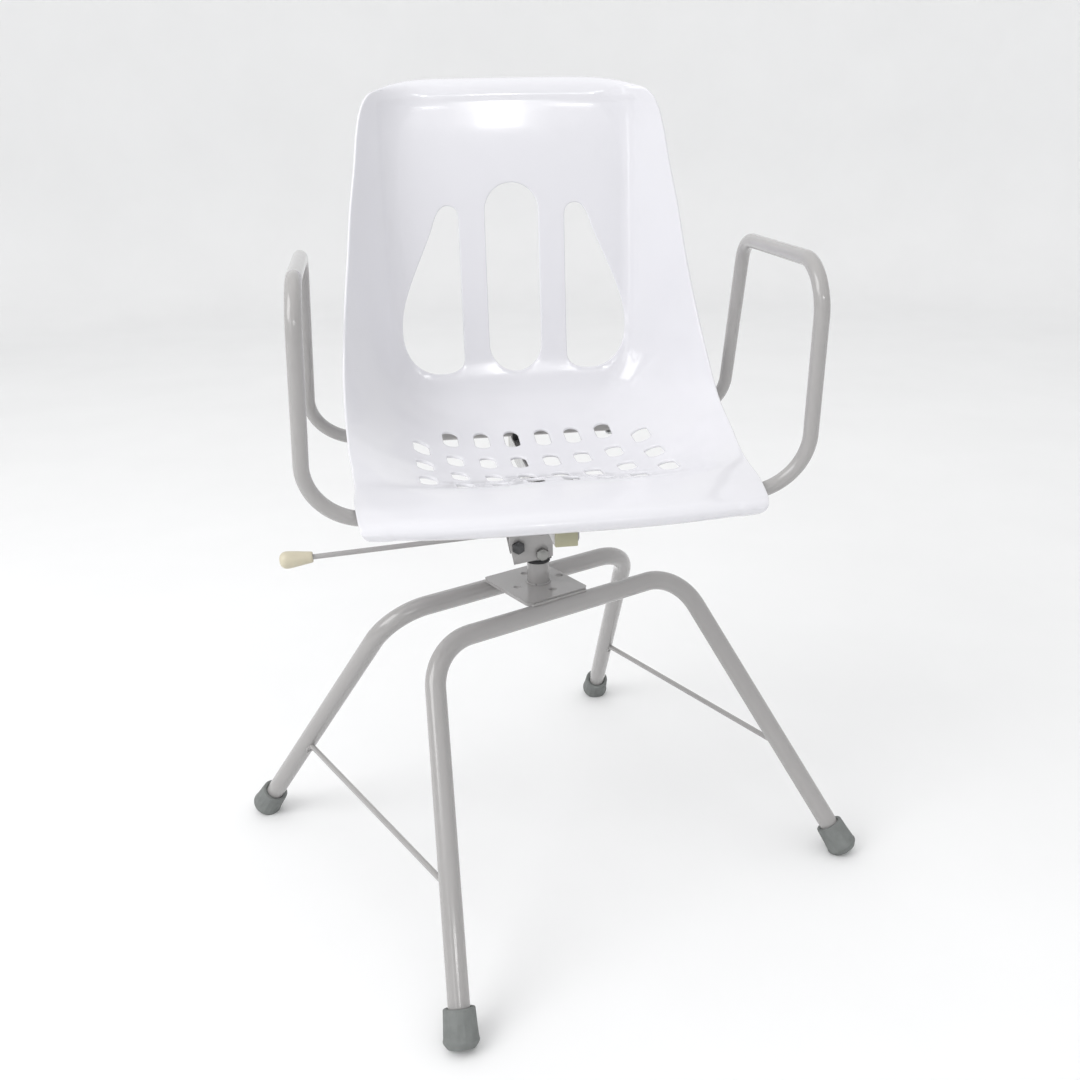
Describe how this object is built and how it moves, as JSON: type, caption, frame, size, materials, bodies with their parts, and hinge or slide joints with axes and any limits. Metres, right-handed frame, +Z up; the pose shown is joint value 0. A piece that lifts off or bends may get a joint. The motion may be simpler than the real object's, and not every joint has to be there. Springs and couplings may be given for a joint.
{
  "type": "swivel bath chair",
  "caption": "Moulded white bucket seat with arm loops on a lockable swivel over a splayed tube base with rubber feet and a side release lever.",
  "frame": {"origin": "on the floor, on the swivel axis, midway between the four feet", "axes": "+Z up along the swivel axis; the seat faces -Y; +X to the sitter's left side"},
  "size_m": [0.7282, 0.7084, 0.8832],
  "materials": {
    "powder_coated_steel": "warm light grey gloss powder coat",
    "white_shell_plastic": "glossy moulded plastic, cool white",
    "grey_rubber": "matt grey rubber",
    "ivory_plastic": "satin ivory plastic",
    "black_plastic": "satin black plastic",
    "zinc_plated_steel": "bright zinc plate",
    "chrome_bolt": "bright plated bolt",
    "dark_bolt_steel": "dark oxide steel",
    "spring_steel": "drawn spring wire"
  },
  "bodies": {
    "base": {"leg_tube_front": "powder_coated_steel", "leg_tube_rear": "powder_coated_steel", "brace_rod_left": "powder_coated_steel", "brace_rod_right": "powder_coated_steel", "base_plate": "powder_coated_steel", "spindle_tube": "powder_coated_steel", "ferrule_front_left": "grey_rubber", "ferrule_front_right": "grey_rubber", "ferrule_rear_left": "grey_rubber", "ferrule_rear_right": "grey_rubber", "upper_bush": "black_plastic", "lower_bush": "black_plastic"},
    "seat": {"swivel_post": "zinc_plated_steel", "retaining_washer": "zinc_plated_steel", "retaining_bolt": "zinc_plated_steel", "cross_bolt_nut": "zinc_plated_steel", "stop_bolt_nut": "zinc_plated_steel", "lever_pivot_bolt": "zinc_plated_steel", "lever_pivot_nut": "zinc_plated_steel", "lever_bracket": "powder_coated_steel", "pin_guide": "powder_coated_steel", "spring_tab": "powder_coated_steel", "centre_beam": "powder_coated_steel", "cross_tube_front": "powder_coated_steel", "cross_tube_rear": "powder_coated_steel", "arm_loop_left": "powder_coated_steel", "arm_loop_right": "powder_coated_steel", "cross_bolt": "chrome_bolt", "stop_bolt": "dark_bolt_steel", "beam_plug_front": "ivory_plastic", "beam_plug_rear": "ivory_plastic", "frame_bolt_front": "zinc_plated_steel", "frame_bolt_rear": "zinc_plated_steel", "arm_screw_front_left": "zinc_plated_steel", "arm_screw_front_right": "zinc_plated_steel", "arm_screw_rear_left": "zinc_plated_steel", "arm_screw_rear_right": "zinc_plated_steel", "shell_screw_front_left": "zinc_plated_steel", "shell_screw_front_right": "zinc_plated_steel", "shell_screw_rear_left": "zinc_plated_steel", "shell_screw_rear_right": "zinc_plated_steel", "seat_shell": "white_shell_plastic", "tube_saddle_front": "black_plastic", "tube_saddle_rear": "black_plastic"},
    "lever": {"lever_rod": "powder_coated_steel", "lift_pin": "zinc_plated_steel", "lever_knob": "ivory_plastic"},
    "lock_pin": {"pin_spring": "spring_steel", "lock_pin": "zinc_plated_steel"}
  },
  "joints": [
    {"name": "seat_swivel", "type": "hinge", "parent": "base", "child": "seat", "pos_m": [0, 0, 0.3375], "axis": [0, 0, 1], "continuous": true},
    {"name": "lever_lift", "type": "hinge", "parent": "seat", "child": "lever", "pos_m": [0.034, 0.013, 0.3999], "axis": [0, 1, 0], "range_deg": [0, 9.5], "stiffness_Nm_per_rad": 0.8, "springref_deg": -17.19},
    {"name": "pin_lift", "type": "slide", "parent": "seat", "child": "lock_pin", "axis": [0, 0, 1], "range_m": [0, 0.0052], "deforming": ["pin_spring"]}
  ],
  "couplings": [
    {"joint": "pin_lift", "follows": "lever_lift", "m_per_rad": 0.028}
  ]
}
